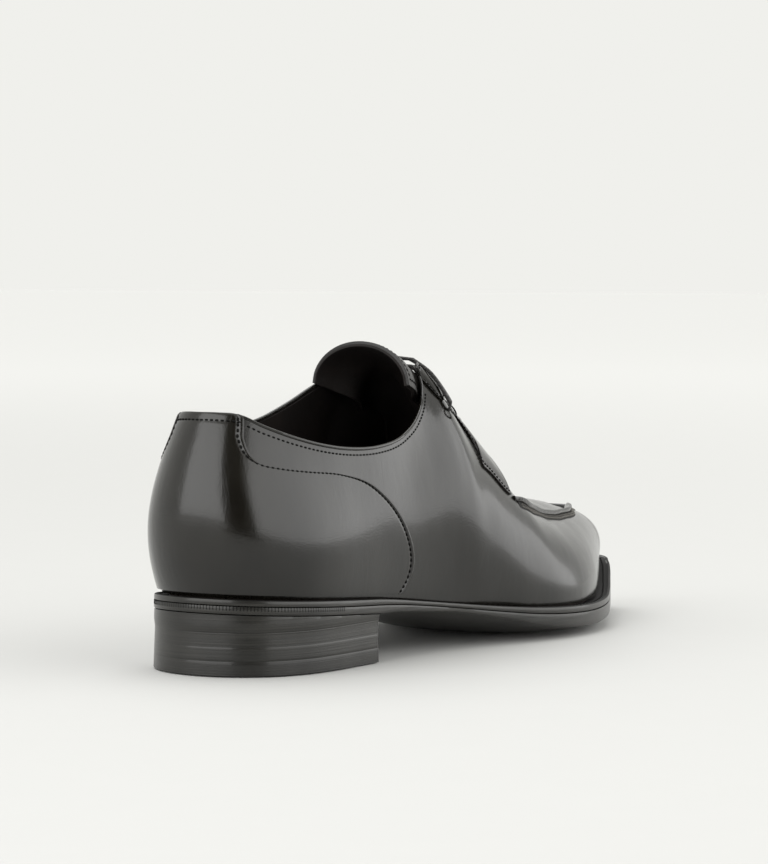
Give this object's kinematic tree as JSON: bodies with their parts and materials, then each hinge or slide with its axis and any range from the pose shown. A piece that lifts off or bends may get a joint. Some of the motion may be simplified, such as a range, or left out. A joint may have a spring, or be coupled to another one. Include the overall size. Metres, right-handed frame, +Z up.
{
  "type": "lace-up dress shoe",
  "caption": "Right lace-up dress shoe with an apron toe, laced facings, stacked heel and a hollow upper open at the collar.",
  "frame": {"origin": "middle of the heel's flat underside, on the floor", "axes": "+X from the heel to the toe, +Y to the inside of the foot, +Z up"},
  "size_m": [0.2947, 0.1025, 0.1163],
  "materials": {
    "calf": "polished dark grey-brown calf",
    "tongue": "matt dark calf",
    "lining": "dark brown lining leather",
    "lace": "waxed flat cotton lace",
    "welt": "black waxed welt",
    "sole_edge": "inked and burnished sole leather edge",
    "top_piece": "matt black rubber"
  },
  "bodies": {
    "root": {"upper": "calf", "counter": "calf", "facing_outside": "calf", "facing_inside": "calf", "apron_seam": "calf", "tongue": "tongue", "lace_bar_1": "lace", "lace_bar_2": "lace", "lace_bar_3": "lace", "lace_bar_4": "lace", "lace_bar_5": "lace", "insole": "lining", "welt": "welt", "outsole": "sole_edge", "heel_lift_1": "sole_edge", "heel_lift_2": "sole_edge", "heel_seat_lift": "sole_edge", "top_piece": "top_piece"}
  },
  "joints": []
}
